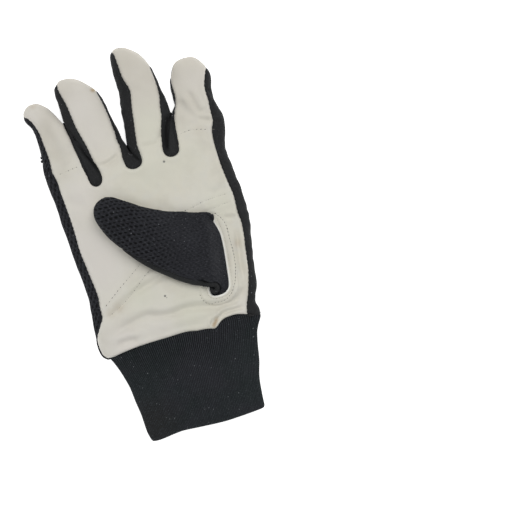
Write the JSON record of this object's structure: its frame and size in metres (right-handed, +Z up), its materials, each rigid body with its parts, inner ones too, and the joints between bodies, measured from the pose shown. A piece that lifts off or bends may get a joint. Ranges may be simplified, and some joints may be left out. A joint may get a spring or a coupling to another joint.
{
  "type": "cricket batting inner glove",
  "caption": "Thin full-finger liner glove for a batter's right hand: leather palm, knit finger sides, mesh back, ribbed cuff, thumb folded over the palm.",
  "frame": {"origin": "centre of the footprint, on the surface that the glove lies on", "axes": "+X to the thumb side, +Y to the fingertips, +Z up out of the palm"},
  "size_m": [0.1234, 0.2498, 0.0236],
  "materials": {
    "leather": "soft matt off-white",
    "knit": "smooth black stretch knit",
    "air_mesh": "black spacer mesh with small holes",
    "rib_knit": "black fine rib knit"
  },
  "bodies": {
    "root": {"palm_leather": "leather", "back_mesh": "air_mesh", "fourchette_ring_little": "knit", "fourchette_middle_ring": "knit", "fourchette_index_middle": "knit", "index_side_strip": "knit", "cuff_rib": "rib_knit", "thumb_hole_rim": "leather", "thumb_back_mesh": "air_mesh", "thumb_front_leather": "leather", "thumb_side_strip": "knit"}
  },
  "joints": []
}
